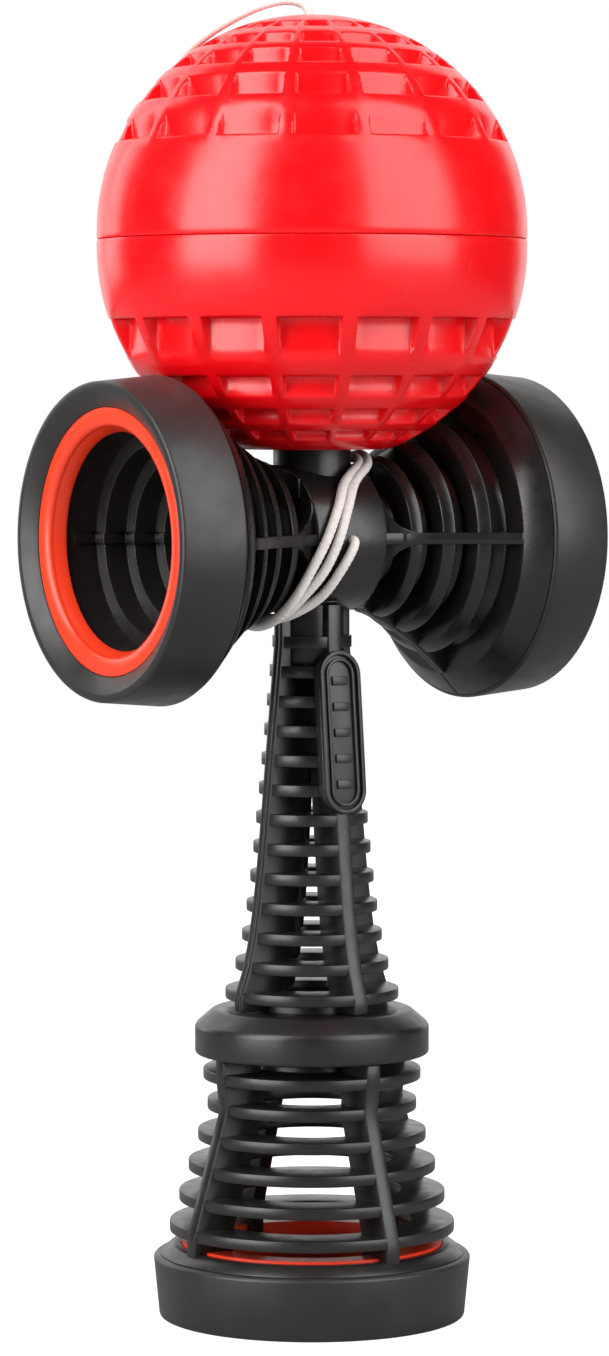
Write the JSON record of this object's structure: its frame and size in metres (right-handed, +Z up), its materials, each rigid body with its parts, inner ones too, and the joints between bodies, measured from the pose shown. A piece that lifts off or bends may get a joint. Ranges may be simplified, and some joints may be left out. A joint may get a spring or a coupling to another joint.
{
  "type": "kendama",
  "caption": "Ball-and-cup skill toy: a ribbed plastic handle with side cups, a base cup and a spike, and a pocketed ball on a string.",
  "frame": {"origin": "middle of the underside of the base, on the surface the toy stands on", "axes": "+Z up along the handle to the spike; X along the cross piece, small cup at -X and big cup at +X; the badge and the string window face -Y"},
  "size_m": [0.072, 0.0624, 0.1897],
  "materials": {
    "handle_plastic": "satin black moulded plastic",
    "cross_plastic": "satin black moulded plastic",
    "rim_rubber": "matt soft-touch rubber",
    "ring_plastic": "orange-red satin plastic",
    "badge_plastic": "satin dark grey plastic",
    "ball_plastic": "glossy red plastic",
    "string_fabric": "white braided cord",
    "bead_wood": "plain turned wood"
  },
  "bodies": {
    "ken": {"shaft_front": "handle_plastic", "shaft_back": "handle_plastic", "base_cage": "handle_plastic", "collar_ring": "handle_plastic", "spike": "handle_plastic", "cross_front": "cross_plastic", "cross_back": "cross_plastic", "small_cup_rim": "rim_rubber", "big_cup_rim": "rim_rubber", "base_cup_rim": "rim_rubber", "small_cup_ring": "ring_plastic", "big_cup_ring": "ring_plastic", "base_cup_ring": "ring_plastic", "badge_plate": "badge_plastic", "string_grommet": "ring_plastic", "string_wraps": "string_fabric", "handle_knot": "string_fabric"},
    "string_end": {"string_tail": "string_fabric", "ball_bead": "bead_wood", "ball_knot": "string_fabric"},
    "tama": {"ball_upper_shell": "ball_plastic", "ball_lower_shell": "ball_plastic", "ball_tube": "ball_plastic"}
  },
  "joints": [
    {"name": "tama_lift", "type": "slide", "parent": "ken", "child": "string_end", "axis": [0, 0, 1], "range_m": [0, 0.05]},
    {"name": "tama_spin", "type": "hinge", "parent": "string_end", "child": "tama", "pos_m": [0, 0, 0.155], "axis": [0, 0, 1], "continuous": true}
  ]
}
